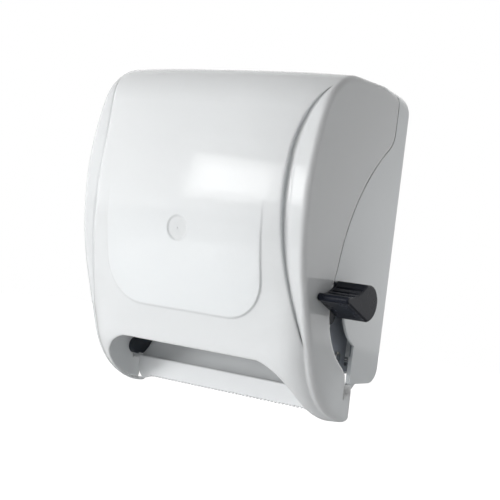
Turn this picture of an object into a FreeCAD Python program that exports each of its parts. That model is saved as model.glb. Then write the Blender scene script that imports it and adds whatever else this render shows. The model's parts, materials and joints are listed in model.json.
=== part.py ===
import FreeCAD, Part
import math
import os

# Lever paper towel dispenser, in millimetres.
# X runs to the right of someone who faces it, Y into the wall and Z up. The back lies on
# Y = 0, and the origin is the centre of the wall screw pattern. Side outlines are (y, z)
# pairs, and angles in them run from +Y towards +Z.

V = FreeCAD.Vector

# ---- casing: cover and chassis share one outer form ----
casing_width = 305.0
top_z = 192.0
bottom_z = -182.0
belly_y = -192.5
belly_z = 55.0
belly_radius = 295.0
shoulder_radius = 65.0
chin_angle = math.radians(21.5)
cheek_radius = 100.0
edge_radius = 7.0
rear_corner_radius = 26.0
rear_corner_depth = 60.0
wall = 3.0
back_wall = 3.0
side_x = casing_width / 2
inner_x = side_x - wall

# ---- front panel, pad, disc and arch of the cover ----
front_limit_y = -240.0
panel_back_y = -60.0
crown_back_y = -40.0
pad_back_y = -100.0
pad_top_z = 75.0
crown_rise = 14.5
crown_power = 3
leg_crown_power = 12
crown_stations = (0.35, 0.65, 0.8, 0.89, 0.95, 1.0)
crown_half = side_x - edge_radius
panel_head_z = 174.0
panel_brow = (127.5, 128.0)
panel_waist = (124.0, 90.0)
panel_hip = (128.8, -8.0)
panel_foot = (crown_half, -98.0)
groove_width = 7.0
groove_depth = 1.5
pad_half = 105.0
pad_bottom_z = -80.0
pad_corner = 46.0
pad_drop = 5.0
disc_radius = 13.25
disc_z = 8.5
disc_depth = 1.0
arch_top_z = -120.5
arch_top_half = 93.0
arch_bend = (114.0, -130.5)
arch_side = (130.0, -151.0)
arch_foot_half = 137.0

# ---- seam, lip and chassis ----
seam_gap = 1.0
seam_y = -26.0
seam_knee_z = 144.0
seam_knee = (-29.8, 131.5)
seam_bend = (-38.6, 122.4)
seam_bow = (-84.0, 71.6)
seam_arc_start = math.radians(158.0)
seam_arc_end = math.radians(240.0)
lip_depth = 5.0
lip_wall = 1.6
lip_gap = 0.4
lip_foot_z = -8.0
chassis_bottom_z = -138.5
chassis_foot_radius = 18.0
wall_screw_half = 95.0
wall_screw_hole = 2.75
wall_seat_half = 9.0
wall_seat_height = 4.0
rib_x = 45.0
rib_wall = 2.5
rib_height = 3.0
rib_ends = (-110.0, 150.0)

# ---- cover hinge ----
hinge = (-63.0, -148.0)
hinge_pin_radius = 3.0
hinge_pin_seat = 2.0
hinge_pin_gap = 0.2
tab_radius = 9.0
tab_slit = 1.2
tab_slit_depth = 7.0
tab_slit_back = 6.0
throat_rise = 20.0
throat_back = 3.0
ear_wall = 2.3
ear_gap = 0.3
ear_radius = 7.0
ear_depth = 26.0
ear_height = 30.0
cheek_heel = (-53.5, -175.0)
cheek_heel_turn = (-55.7, -180.2)
cheek_heel_foot_y = -61.5

# ---- running clearances ----
shaft_play = 0.05
pivot_play = 0.05

# ---- side frames ----
frame_inset = 1.5
frame_wall = 3.0
frame_front_y = -104.0
frame_top_z = 138.0
frame_column_y = -34.0
frame_column_foot = 44.0
frame_shoulder_z = -14.0
frame_foot_z = -127.0
flange_wall = 3.0
flange_reach = 22.0
shelf_front_y = -44.0
shelf_wall = 4.0
frame_window_y = (-49.4, -35.0)
frame_window_z = (-120.0, -91.0)
flange_window_z = (-120.0, -86.0)
seat_height = 5.0
seat_half = 12.0
frame_seats = (125.0, 45.0, -72.0)
frame_screw_inset = 17.0

# ---- screws ----
screw_radius = 1.9
screw_across = 7.0
screw_head_height = 2.2
screw_bite = 6.0
screw_tip_gap = 0.5
small_screw_radius = 1.5
small_screw_across = 5.0
small_screw_head_height = 1.6

# ---- lever and its gear ----
pivot = (-38.0, -47.0)
slot_inner = 54.0
slot_outer = 84.5
slot_top_angle = math.radians(166.0)
slot_rear_y = -60.0
lever_shaft_radius = 5.0
bush_wall = 2.5
lever_arm_gap = 2.5
lever_arm_wall = 6.0
lever_hub_radius = 13.0
arm_bar_half = 10.0
neck_inner = 58.0
neck_outer = 76.3
arm_reach = 81.0
foot_drop = 16.0
neck_half_height = 12.0
paddle_gap = 1.5
paddle_length = 36.0
paddle_corner = 2.0
paddle_edge = 1.8
paddle_crest = (-114.0, -26.3)
paddle_dip = (-131.5, -38.0)
paddle_brow = (-146.0, -40.6)
paddle_nose = (-151.9, -44.2)
paddle_chin = (-147.0, -48.4)
paddle_belly = (-126.0, -57.2)
paddle_heel = (-106.0, -65.4)
paddle_back = (-87.5, -46.5)
paddle_crown = (-105.0, -26.3)
paddle_grooves = ((-121.4, -33.3), (-128.9, -37.5), (-136.4, -40.0))
paddle_groove_radius = 1.7
paddle_groove_start = 2.5
paddle_groove_stop = 1.2
lever_stroke = math.radians(52.0)
lever_screw_length = 12.0
washer_wall = 1.0
stop_radius = 4.0
stop_gap = 0.1
clip_wall = 1.2
clip_seat = 1.0
clip_reach = 3.0
clip_mouth = 2.5
shaft_clip_wall = 0.8
shaft_lip = 0.5
gear_module = 1.5
gear_pressure = math.radians(25.0)
gear_backlash = 0.15
sector_full_teeth = 82
pinion_teeth = 12
gear_wall = 6.0
gear_gap = 2.5
sector_rim = 7.0
sector_web = 9.0
sector_spoke = math.radians(9.0)
gear_notch_gap = 1.5
mesh_angle = math.radians(244.8)

# ---- lever spring ----
spring_setback = 13.5
spring_length = 9.0
spring_radius = 7.5
spring_wire = 1.6
spring_gap = 0.1
spring_peg_radius = 2.0
spring_peg_reach = 16.4
spring_peg_length = 7.0

# ---- drive roller ----
drive_shaft_radius = 3.5
clutch_radius = 5.6
roller_end_gap = 16.0
core_radius = 11.5
sleeve_radius = 14.0
sleeve_length = 34.0
sleeve_places = (-87.0, -29.0, 29.0, 87.0)
knob_lobes = 3
knob_reach = 29.5
knob_lobe_radius = 9.5
knob_first = math.radians(258.0)
knob_step = math.radians(23.0)
knob_steps = 3
knob_core_radius = 21.0
knob_gap = 0.7
knob_wall = 6.4
knob_dish_radius = 17.0
knob_dish = 3.0
knob_boss_radius = 7.5
bush_end = 0.5
bush_collar = 2.0
bush_collar_wall = 1.5
end_play = 0.3

# ---- pinch roller ----
paper_gap = 0.5
pinch_radius = 8.5
pinch_angle = math.radians(25.0)
pinch_shaft_radius = 2.5
pinch_hinge = (-28.0, -115.0)
pinch_arm_gap = 13.0
pinch_arm_wall = 3.0
pinch_arm_half = 5.0
pinch_boss_radius = 6.0
pinch_head_radius = 5.5
pinch_plate_y = (1.0, 3.5)
pinch_plate_z = (-5.0, 13.0)
pinch_end_gap = 6.0
pinch_sleeve_gap = 2.0
pinch_spring_x = 70.0
pinch_spring_half = 6.0
spring_leaf = 0.6
pinch_spring_drop = 4.0
pinch_spring_bow = (4.0, 12.0)
pinch_spring_rise = 26.0
pinch_spring_foot = 18.0
pinch_spring_curl = (3.0, 8.0)

# ---- roll arms and hubs ----
roll_axis = (-100.0, 88.0)
arm_x = 115.0
arm_wall = 4.0
arm_pin = (121.0, -17.5)
arm_pin_radius = 2.5
arm_half_height = 22.0
arm_head_radius = 20.0
knuckle_radius = 5.5
lug_wall = 5.5
lug_gap = 0.3
arm_rib_wall = 3.0
arm_rib_height = 2.5
arm_spring_z = (6.0, 18.0)
arm_spring_gap = 0.3
arm_spring_setback = 2.0
arm_spring_reach = 26.0
arm_spring_bow = (4.0, 15.0)
arm_spring_curl = (2.0, 6.0)
spindle_radius = 6.0
spindle_end_x = 90.0
hub_nose_x = 86.0
hub_flange_x = 104.0
hub_flange_wall = 2.5
hub_radius = 18.5
hub_wall = 7.0
hub_chamfer = 3.0
hub_back_radius = 10.5
hub_flange_radius = 26.0
hub_play = 0.3
hub_screw_length = 11.0
hub_washer_radius = 8.0
hub_washer_wall = 1.2

# ---- paper chute and tear bar ----
chute_gap = 1.3
chute_wall = 2.5
chute_lip = (-66.0, -150.0)
chute_bow = (-56.0, -142.5)
chute_heel = (-48.5, -133.0)
chute_foot_gap = 3.0
chute_screw_y = -24.0
apron_foot_z = -167.0
cheek_rear_z = -153.0
cheek_front_z = -163.0
bar_top_z = -150.0
bar_foot_z = -172.0
bar_wall = 3.5
bar_nose = 3.0
bar_corner_top_z = -163.0
bar_corner_bend = (3.2, -172.5)
bar_corner_foot = (9.5, -178.3)
bar_tab_width = 20.5
bar_tab_foot_z = -174.5
bar_screw_inset = 28.5
bar_screw_z = -160.0
bar_skin = 1.0
tooth_pitch = 5.0
tooth_height = 2.5
tooth_margin = 0.1

# ---- lock ----
lock_y = -45.0
lock_radius = 9.0
lock_flange_radius = 12.0
lock_flange_wall = 1.6
lock_foot_z = 178.5
lock_nut_wall = 4.0
lock_nut_across = 24.0
plug_radius = 6.0
plug_step = 2.5
plug_drop = 0.4
key_slot = (1.2, 6.0, 4.0)
cam_wall = 2.5
cam_top_z = 178.0
cam_half = 4.0
cam_hook_gap = 1.5
cam_hook_length = 3.0
cam_screw_bite = 4.0
strike_y = -20.5
strike_wall = 2.0
strike_half = 15.0
strike_x = 10.0
strike_foot_z = 172.0
strike_foot_depth = 13.0
strike_screw_half = 9.0
strike_screw_back = 8.0
strike_screw_skin = 1.0

# ---- values that follow from the sizes above ----
sector_pitch_radius = gear_module * sector_full_teeth / 2
pinion_pitch_radius = gear_module * pinion_teeth / 2
gear_distance = sector_pitch_radius + pinion_pitch_radius


def on_arc(centre, radius, angle):
    return (centre[0] + radius * math.cos(angle), centre[1] + radius * math.sin(angle))


drive_axis = on_arc(pivot, gear_distance, mesh_angle)
pinch_axis = on_arc(drive_axis, sleeve_radius + paper_gap + pinch_radius, pinch_angle)
hinge_socket_x = inner_x + hinge_pin_seat
ear_outer_x = inner_x - ear_gap
ear_inner_x = ear_outer_x - ear_wall
knob_inner_x = ear_inner_x - knob_gap - knob_wall
chute_half = knob_inner_x - chute_gap
frame_outer_x = chute_half - frame_inset
frame_x = frame_outer_x - frame_wall
flange_inner_x = frame_x - flange_reach
frame_screw_x = frame_x - frame_screw_inset
lever_arm_x = frame_outer_x + lever_arm_gap
paddle_inner_x = side_x + paddle_gap
paddle_outer_x = paddle_inner_x + paddle_length
gear_x = frame_x - gear_gap - gear_wall
spring_x = gear_x - spring_setback
roller_half = frame_x - roller_end_gap
pinch_arm_x = frame_x - pinch_arm_gap
pinch_half = pinch_arm_x - pinch_arm_wall - pinch_end_gap
bar_screw_x = chute_half - bar_screw_inset
bar_screw_places = (-bar_screw_x, 0.0, bar_screw_x)
shaft_clip_x = frame_outer_x + bush_end + end_play
frame_seat_y = -(back_wall + seat_height)
flange_front_y = frame_seat_y - flange_wall
shelf_top_z = frame_foot_z + shelf_wall
spring_peg = (pivot[0] - spring_peg_reach, pivot[1] - spring_radius + spring_wire / 2 + spring_peg_radius + spring_gap)
sector_pitch_angle = 2 * math.pi / sector_full_teeth
sector_last_tooth = mesh_angle + sector_pitch_angle / 2
sector_teeth = math.ceil(lever_stroke / sector_pitch_angle) + 2
slit_y = hinge[0] - tab_slit_back
tab_front_y = slit_y + tab_slit
tab_front_z = hinge[1] + math.sqrt(tab_radius ** 2 - (hinge[0] - tab_front_y) ** 2)
throat = (slit_y - throat_back, hinge[1] + throat_rise)
strike_screw_y = strike_y + strike_screw_back
strike_screw_places = (strike_x - strike_screw_half, strike_x + strike_screw_half)


# ---- drawing helpers ----
def side_at(x):
    return lambda y, z: V(x, y, z)


def front_at(y):
    return lambda x, z: V(x, y, z)


def plan_at(z):
    return lambda x, y: V(x, y, z)


def wire(start, steps, place):
    """Closed wire: a step of one point is a line, a step of two is an arc through the first."""
    edges = []
    here = start
    for step in steps:
        if (place(*here) - place(*step[-1])).Length < 1e-6:
            continue
        if len(step) == 1:
            edges.append(Part.makeLine(place(*here), place(*step[0])))
        else:
            edges.append(Part.Arc(place(*here), place(*step[0]), place(*step[1])).toShape())
        here = step[-1]
    if (place(*here) - place(*start)).Length > 1e-6:
        edges.append(Part.makeLine(place(*here), place(*start)))
    return Part.Wire(edges)


def along_x(start, steps, x_low, x_high):
    return Part.Face(wire(start, steps, side_at(x_low))).extrude(V(x_high - x_low, 0, 0))


def along_y(start, steps, y_low, y_high):
    return Part.Face(wire(start, steps, front_at(y_low))).extrude(V(0, y_high - y_low, 0))


def along_z(start, steps, z_low, z_high):
    return Part.Face(wire(start, steps, plan_at(z_low))).extrude(V(0, 0, z_high - z_low))


def box(x, y, z):
    return Part.makeBox(x[1] - x[0], y[1] - y[0], z[1] - z[0], V(x[0], y[0], z[0]))


def rod_x(centre, radius, x_low, x_high):
    return Part.makeCylinder(radius, x_high - x_low, V(x_low, *centre), V(1, 0, 0))


def rod_y(x, z, radius, y_low, y_high):
    return Part.makeCylinder(radius, y_high - y_low, V(x, y_low, z), V(0, 1, 0))


def rod_z(x, y, radius, z_low, z_high):
    return Part.makeCylinder(radius, z_high - z_low, V(x, y, z_low), V(0, 0, 1))


def joined(pieces):
    return pieces[0].fuse(pieces[1:]).removeSplitter()


def mirrored(shape):
    return shape.mirror(V(0, 0, 0), V(1, 0, 0))


def corners(points):
    return [[point] for point in points]


def hexagon_prism(across, height):
    points = []
    for turn in range(7):
        y, z = on_arc((0, 0), across / math.sqrt(3), turn * math.pi / 3)
        points.append(V(y, z, 0))
    return Part.Face(Part.makePolygon(points)).extrude(V(0, 0, height))


def hex_screw(seat, way, radius, across, head_height, length):
    """Screw whose shank runs from its seat along way, its hexagon head behind the seat."""
    head = hexagon_prism(across, head_height).translated(V(0, 0, -head_height))
    screw = joined([Part.makeCylinder(radius, length), head])
    screw.Placement = FreeCAD.Placement(seat, FreeCAD.Rotation(V(0, 0, 1), way))
    return screw


def large_screw(seat, way, length):
    return hex_screw(seat, way, screw_radius, screw_across, screw_head_height, length)


def small_screw(seat, way, length):
    return hex_screw(seat, way, small_screw_radius, small_screw_across, small_screw_head_height, length)


# ---- casing form ----
def casing_side(inset, push, low_push, rear, x):
    """Side view of the casing, moved in by inset; its front and its cheek are pushed forward."""
    belly = (belly_y + belly_radius, belly_z)
    shoulder_z = top_z - shoulder_radius
    reach = belly_radius - shoulder_radius
    rise = shoulder_z - belly_z
    shoulder = (belly[0] - math.sqrt(reach ** 2 - rise ** 2), shoulder_z)
    brow = math.pi - math.atan2(rise, belly[0] - shoulder[0])
    fall = math.pi + chin_angle
    chin = on_arc(belly, belly_radius, fall)
    cheek_z = bottom_z + cheek_radius
    drop = chin[1] - (cheek_z - cheek_radius * math.sin(chin_angle))
    cheek_y = chin[0] + drop * math.tan(chin_angle) + cheek_radius * math.cos(chin_angle)
    cheek = (cheek_y, cheek_z)
    down = 1.5 * math.pi
    ahead_y = cheek[0] - low_push - belly[0] + push
    away = math.hypot(ahead_y, cheek_z - belly_z)
    fall = math.atan2(cheek_z - belly_z, ahead_y) - math.acos((belly_radius - cheek_radius) / away) + 2 * math.pi

    def ahead(centre, radius, angle, shift):
        y, z = on_arc(centre, radius - inset, angle)
        return (y - shift, z)

    steps = [
        [ahead(shoulder, shoulder_radius, math.pi / 2, push)],
        [
            ahead(shoulder, shoulder_radius, (math.pi / 2 + brow) / 2, push),
            ahead(shoulder, shoulder_radius, brow, push),
        ],
        [ahead(belly, belly_radius, (brow + fall) / 2, push), ahead(belly, belly_radius, fall, push)],
        [ahead(cheek, cheek_radius, fall, low_push)],
        [
            ahead(cheek, cheek_radius, (fall + down) / 2, low_push),
            ahead(cheek, cheek_radius, down, low_push),
        ],
        [(rear, bottom_z + inset)],
    ]
    return wire((rear, top_z - inset), steps, side_at(x))


def plain_casing(inset, rear):
    """The casing without its front panel; its outer skin has rounded side edges."""
    half = side_x - inset
    body = Part.Face(casing_side(inset, 0, 0, rear, -half)).extrude(V(2 * half, 0, 0))
    if inset == 0:
        rim = []
        for edge in body.Edges:
            middle = edge.CenterOfMass
            on_side = abs(abs(middle.x) - half) < 1e-6
            if on_side and abs(middle.y - rear) > 1 and middle.z > bottom_z + 1:
                rim.append(edge)
        body = body.makeFillet(edge_radius, rim)
    return body.cut(joined([rear_corner(inset), mirrored(rear_corner(inset))]))


def rear_corner(inset):
    """What the growing radius takes off the casing's top corner towards the wall."""
    half = side_x - inset
    top = top_z - inset
    sections = []
    for y, radius in ((2.0, rear_corner_radius), (-rear_corner_depth, edge_radius - 1)):
        size = max(radius - inset, 0.5)
        centre = (half - size, top - size)
        steps = [
            [on_arc(centre, size, math.pi / 4), (half, centre[1])],
            [(half + 2, centre[1])],
            [(half + 2, top + 2)],
            [(centre[0], top + 2)],
        ]
        sections.append(wire((centre[0], top), steps, front_at(y)))
    return Part.makeLoft(sections, True, True)


def crown(x, power):
    return crown_rise * (1 - abs(x / crown_half) ** power)


def crowned_casing(inset):
    """A casing whose front swells towards the middle, as far out as the panel reaches."""
    sections = []
    for share in [-share for share in reversed(crown_stations)] + [0.0] + list(crown_stations):
        x = share * crown_half
        pushes = (crown(x, crown_power), crown(x, leg_crown_power))
        sections.append(casing_side(inset, *pushes, crown_back_y, x))
    return Part.makeLoft(sections, True, False)


def panel_outline(spread):
    """Front view of the panel, waisted at the sides; spread widens it at the waist."""
    def out(point):
        return (point[0] + spread, point[1])

    def over(point):
        return (-point[0], point[1])

    head = (crown_half, panel_head_z)
    foot = (panel_foot[0], bottom_z - 5)
    roof = (crown_half, top_z + 5)
    brow, waist, hip = out(panel_brow), out(panel_waist), out(panel_hip)
    steps = [
        [head], [brow, waist], [hip, panel_foot], [foot],
        [over(foot)], [over(panel_foot)], [over(hip), over(waist)], [over(brow), over(head)], [over(roof)],
    ]
    return roof, steps


def panel_prism(spread):
    return along_y(*panel_outline(spread), front_limit_y, panel_back_y)


def pad_prism():
    bottom, half, side = pad_bottom_z, pad_half, pad_half - pad_corner
    turn = pad_corner * (1 - math.cos(math.pi / 4))
    steps = [
        [(-half, bottom + pad_corner)],
        [(-half + turn, bottom + turn), (-side, bottom)],
        [(side, bottom)],
        [(half - turn, bottom + turn), (half, bottom + pad_corner)],
        [(half, pad_top_z)],
    ]
    return along_y((-half, pad_top_z), steps, front_limit_y, pad_back_y)


def outer_casing():
    panel = crowned_casing(0).common(panel_prism(0))
    plain = plain_casing(0, 0)
    groove = plain.cut(plain_casing(groove_depth, 0))
    groove = groove.common(panel_prism(groove_width).cut(panel_prism(0)))
    groove = groove.common(box((-side_x, side_x), (front_limit_y, panel_back_y), (panel_foot[1], panel_head_z)))
    pad = crowned_casing(0).translated(V(0, 0, -pad_drop)).common(pad_prism())
    face = plain.cut(groove).fuse([panel, pad])
    disc = rod_y(0, disc_z, disc_radius, front_limit_y, panel_back_y)
    disc = disc.cut(crowned_casing(disc_depth).translated(V(0, 0, -pad_drop)))
    return face.cut(disc)


def inner_casing(rear):
    return plain_casing(wall, rear).fuse(crowned_casing(wall).common(panel_prism(-wall)))


# ---- seam and cover ----
def seam_steps(shift, radius):
    """The seam from the top down to its arc round the lever pivot."""
    def back(point):
        return (point[0] + shift, point[1])

    return [
        [back((seam_y, seam_knee_z))],
        [back(seam_knee), back(seam_bend)],
        [back(seam_bow), on_arc(pivot, radius, seam_arc_start)],
    ]


def lower_seam(radius):
    return [on_arc(pivot, radius, (seam_arc_start + seam_arc_end) / 2), on_arc(pivot, radius, seam_arc_end)]


def cover_zone():
    """Everything in front of the seam, with the hinge tab set off by its slit."""
    slit_z = hinge[1] - tab_slit_depth
    heel_foot = (cheek_heel_foot_y, bottom_z)
    steps = seam_steps(0, slot_outer) + [
        lower_seam(slot_outer),
        [throat],
        [(slit_y, hinge[1] + tab_radius)],
        [(slit_y, slit_z)],
        [(tab_front_y, slit_z)],
        [(tab_front_y, tab_front_z)],
        [(hinge[0], hinge[1] + tab_radius), (hinge[0] + tab_radius, hinge[1])],
        [cheek_heel],
        [cheek_heel_turn, heel_foot],
        [(heel_foot[0], bottom_z - 10)],
        [(front_limit_y, bottom_z - 10)],
        [(front_limit_y, top_z + 10)],
    ]
    return along_x((seam_y, top_z + 10), steps, -side_x - 1, side_x + 1)


def arch_prism():
    def over(point):
        return (-point[0], point[1])

    top = (arch_top_half, arch_top_z)
    foot = (arch_foot_half, bottom_z + 4)
    below = (arch_foot_half + 3, bottom_z - 10)
    steps = [
        [top], [arch_bend, arch_side], [foot], [below],
        [over(below)], [over(foot)], [over(arch_side)], [over(arch_bend), over(top)],
    ]
    return along_y(over(top), steps, front_limit_y, 0)


def front_cover():
    shell = outer_casing().cut(inner_casing(-1)).common(cover_zone()).cut(arch_prism())
    lock_hole = rod_z(0, lock_y, lock_radius, top_z - wall - 5, top_z + 5)
    sockets = []
    for side in (-1, 1):
        x_ends = sorted((side * (inner_x - 1), side * hinge_socket_x))
        sockets.append(rod_x(hinge, hinge_pin_radius + pivot_play, *x_ends))
    return shell.cut([lock_hole] + sockets)


def lock_housing():
    """Flanged barrel through the cover's top, bored for the plug."""
    barrel = rod_z(0, lock_y, lock_radius, lock_foot_z, top_z)
    flange = rod_z(0, lock_y, lock_flange_radius, top_z, top_z + lock_flange_wall)
    bore = rod_z(0, lock_y, plug_radius + shaft_play, lock_foot_z - 1, top_z + 5)
    return joined([barrel, flange]).cut(bore)


def lock_nut():
    top = top_z - wall
    nut = hexagon_prism(lock_nut_across, lock_nut_wall).translated(V(0, lock_y, top - lock_nut_wall))
    return nut.cut(rod_z(0, lock_y, lock_radius, top - lock_nut_wall - 1, top + 1))


def lock_plug():
    """Turning plug with a bare key slot; its foot carries the cam."""
    top = top_z + lock_flange_wall - plug_drop
    plug = rod_z(0, lock_y, plug_radius, cam_top_z, top)
    stem = rod_z(0, lock_y, plug_radius - plug_step, cam_top_z - cam_wall, cam_top_z)
    width, length, depth = key_slot
    slot = box((-width / 2, width / 2), (lock_y - length / 2, lock_y + length / 2), (top - depth, top + 1))
    bore = rod_z(0, lock_y, small_screw_radius, cam_top_z - cam_wall - 1, cam_top_z + cam_screw_bite)
    return joined([plug, stem]).cut([slot, bore])


def lock_cam():
    """Hooked cam, drawn where it locks and then turned a quarter to where it is open."""
    z_low = cam_top_z - cam_wall
    hook_y = strike_y + strike_wall + cam_hook_gap
    hook_x = strike_x - plug_radius
    side_x_out = strike_x - strike_half - plug_radius
    points = [
        (side_x_out - cam_half, hook_y - plug_radius), (side_x_out - cam_half, hook_y + cam_hook_length),
        (hook_x, hook_y + cam_hook_length), (hook_x, hook_y),
        (side_x_out, hook_y), (side_x_out, hook_y - plug_radius), (cam_half, lock_y),
    ]
    arm = along_z((-plug_radius, lock_y), corners(points), z_low, cam_top_z)
    hub = rod_z(0, lock_y, plug_radius + 1, z_low, cam_top_z)
    cam = joined([arm, hub]).cut(rod_z(0, lock_y, plug_radius - plug_step, z_low - 1, cam_top_z + 1))
    cam.rotate(V(0, lock_y, 0), V(0, 0, 1), 90)
    return cam


def cam_screw():
    seat = V(0, lock_y, cam_top_z - cam_wall)
    return small_screw(seat, V(0, 0, 1), cam_wall + cam_screw_bite)


# ---- chassis ----
def chassis_zone(slotted):
    """Everything behind the seam; the slotted side leaves the lever its curved way."""
    radius = slot_outer - seam_gap
    steps = seam_steps(seam_gap, radius)
    if slotted:
        slot_foot = math.pi + math.acos((pivot[0] - slot_rear_y) / slot_inner)
        steps += [
            [on_arc(pivot, radius, (seam_arc_start + slot_top_angle) / 2), on_arc(pivot, radius, slot_top_angle)],
            [on_arc(pivot, slot_inner, slot_top_angle)],
            [on_arc(pivot, slot_inner, (slot_top_angle + slot_foot) / 2), on_arc(pivot, slot_inner, slot_foot)],
            [(slot_rear_y, chassis_bottom_z)],
        ]
    else:
        steps += [
            lower_seam(radius),
            [(throat[0] + seam_gap, throat[1])],
            [(slit_y + seam_gap, chassis_bottom_z)],
        ]
    turn = chassis_foot_radius * (1 - math.cos(math.pi / 4))
    steps += [
        [(-chassis_foot_radius, chassis_bottom_z)],
        [(-turn, chassis_bottom_z + turn), (0, chassis_bottom_z + chassis_foot_radius)],
        [(0, top_z + 10)],
    ]
    x_ends = (0, side_x + 1) if slotted else (-side_x - 1, 0)
    return along_x((seam_y + seam_gap, top_z + 10), steps, *x_ends)


def seam_band(front, rear):
    """A band along the seam, from front to rear of it, above the lever slot."""
    far = seam_y + 60
    pieces = []
    for shift in (-front, rear):
        steps = seam_steps(shift, slot_outer - shift)
        low = steps[-1][-1][1]
        steps += [[(far, low)], [(far, top_z + 10)]]
        pieces.append(along_x((seam_y + shift, top_z + 10), steps, -side_x - 1, side_x + 1))
    band = pieces[0].cut(pieces[1])
    return band.common(box((-side_x - 1, side_x + 1), (belly_y, 10), (lip_foot_z, top_z + 10)))


def seam_lip():
    """Inner lip that bridges the seam and keeps light and lint out."""
    inside = plain_casing(wall + lip_gap + lip_wall, 10)
    root = plain_casing(wall, 10).cut(inside).common(seam_band(-seam_gap, lip_depth))
    tongue = plain_casing(wall + lip_gap, 10).cut(inside).common(seam_band(lip_depth, lip_depth))
    return joined([root, tongue])


def hinge_ear():
    """Ear inside the chassis wall that hangs down to the cover's hinge pin."""
    root_z = chassis_bottom_z + ear_height
    knee_y = slot_rear_y + seam_gap
    back_y = knee_y + ear_depth
    front = on_arc(hinge, ear_radius, math.radians(150))
    below = on_arc(hinge, ear_radius, math.radians(230))
    behind = on_arc(hinge, ear_radius, math.radians(310))
    steps = [
        [(knee_y, chassis_bottom_z + 1)], [front], [below, behind],
        [(back_y, chassis_bottom_z + 6)], [(back_y, root_z)],
    ]
    ear = along_x((knee_y, root_z), steps, ear_inner_x, ear_outer_x)
    root = box((ear_outer_x, inner_x), (knee_y, back_y), (chassis_bottom_z, root_z))
    return ear.fuse(root).cut(rod_x(hinge, hinge_pin_radius, ear_inner_x - 1, ear_outer_x + 1))


def frame_seat_blocks():
    """Raised seats on the back wall that the side frames screw to."""
    blocks = []
    for z in frame_seats:
        z_ends = (z - seat_half, z + seat_half)
        blocks.append(box((flange_inner_x, frame_outer_x), (frame_seat_y, -back_wall), z_ends))
    return blocks


def back_chassis():
    shell = outer_casing().cut(inner_casing(-back_wall))
    side_zones = chassis_zone(True).fuse(chassis_zone(False))
    tray = shell.common(side_zones)
    extras = [seam_lip(), hinge_ear(), mirrored(hinge_ear())]
    extras += frame_seat_blocks() + [mirrored(block) for block in frame_seat_blocks()]
    for x in (-rib_x, rib_x):
        x_ends = (x - rib_wall / 2, x + rib_wall / 2)
        extras.append(box(x_ends, (-back_wall - rib_height, -back_wall), rib_ends))
    holes = []
    wall_seat_y = -back_wall - wall_seat_height
    for x in (-wall_screw_half, wall_screw_half):
        for z in (-wall_screw_half, wall_screw_half):
            x_ends = (x - wall_seat_half, x + wall_seat_half)
            z_ends = (z - wall_seat_half, z + wall_seat_half)
            extras.append(box(x_ends, (wall_seat_y, -back_wall), z_ends))
            holes.append(rod_y(x, z, wall_screw_hole, wall_seat_y - 1, 1))
    for x in (-frame_screw_x, frame_screw_x):
        for z in frame_seats:
            holes.append(rod_y(x, z, screw_radius, frame_seat_y - 1, frame_seat_y + screw_bite))
    for x in strike_screw_places:
        z_ends = (top_z - wall - 1, top_z - strike_screw_skin)
        holes.append(rod_z(x, strike_screw_y, small_screw_radius, *z_ends))
    return tray.fuse(extras).cut(holes)


def lock_strike():
    """Steel angle under the chassis top; the cam hooks behind its hanging leg."""
    top = top_z - wall
    x_ends = (strike_x - strike_half, strike_x + strike_half)
    leg = box(x_ends, (strike_y, strike_y + strike_wall), (strike_foot_z, top))
    foot = box(x_ends, (strike_y, strike_y + strike_foot_depth), (top - strike_wall, top))
    holes = []
    for x in strike_screw_places:
        holes.append(rod_z(x, strike_screw_y, small_screw_radius, top - strike_wall - 1, top + 1))
    return joined([leg, foot]).cut(holes)


def strike_screws():
    seat_z = top_z - wall - strike_wall
    length = strike_wall + wall - strike_screw_skin - hinge_pin_gap
    screws = []
    for x in strike_screw_places:
        screws.append(small_screw(V(x, strike_screw_y, seat_z), V(0, 0, 1), length))
    return Part.makeCompound(screws)


def cover_hinge_pins():
    pins = []
    for side in (-1, 1):
        x_ends = sorted((side * ear_inner_x, side * (hinge_socket_x - hinge_pin_gap)))
        pins.append(rod_x(hinge, hinge_pin_radius, *x_ends))
    return Part.makeCompound(pins)


# ---- side frames, drawn on the right and mirrored for the left ----
def side_plate():
    """Plate with a column for the roll arm, a wide foot for the rollers and a back flange."""
    steps = [
        [(frame_column_y, frame_top_z)],
        [(frame_column_y, frame_column_foot)],
        [(frame_column_y - 6, frame_column_foot - 20), (frame_column_y - 22, frame_column_foot - 32)],
        [(frame_front_y + 12, frame_shoulder_z)],
        [(frame_front_y + 3, frame_shoulder_z - 6), (frame_front_y, frame_shoulder_z - 16)],
        [(frame_front_y, frame_foot_z + 10)],
        [(frame_front_y + 3, frame_foot_z + 3), (frame_front_y + 10, frame_foot_z)],
        [(frame_seat_y, frame_foot_z)],
    ]
    plate = along_x((frame_seat_y, frame_top_z), steps, frame_x, frame_outer_x)
    flange_ends = (flange_front_y, frame_seat_y)
    flange = box((flange_inner_x, frame_outer_x), flange_ends, (frame_foot_z, frame_top_z))
    shelf = box((flange_inner_x, frame_outer_x), (shelf_front_y, frame_seat_y), (frame_foot_z, shelf_top_z))
    window = box((frame_x - 1, frame_outer_x + 1), frame_window_y, frame_window_z)
    flange_window = box((flange_inner_x - 1, frame_x), (flange_front_y - 1, frame_seat_y + 1), flange_window_z)
    return joined([plate, flange, shelf] + arm_lugs()).cut([window, flange_window])


def arm_lugs():
    """Ears above and below the roll arm's knuckle, bored for its pin."""
    x, y = arm_pin
    lugs = []
    for side in (-1, 1):
        near = roll_axis[1] + side * (arm_half_height + lug_gap)
        far = near + side * lug_wall
        z_ends = sorted((near, far))
        block = box((x, frame_x), (y - knuckle_radius, frame_seat_y), z_ends)
        lugs.append(block.fuse(rod_z(x, y, knuckle_radius, *z_ends)))
    return lugs


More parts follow.
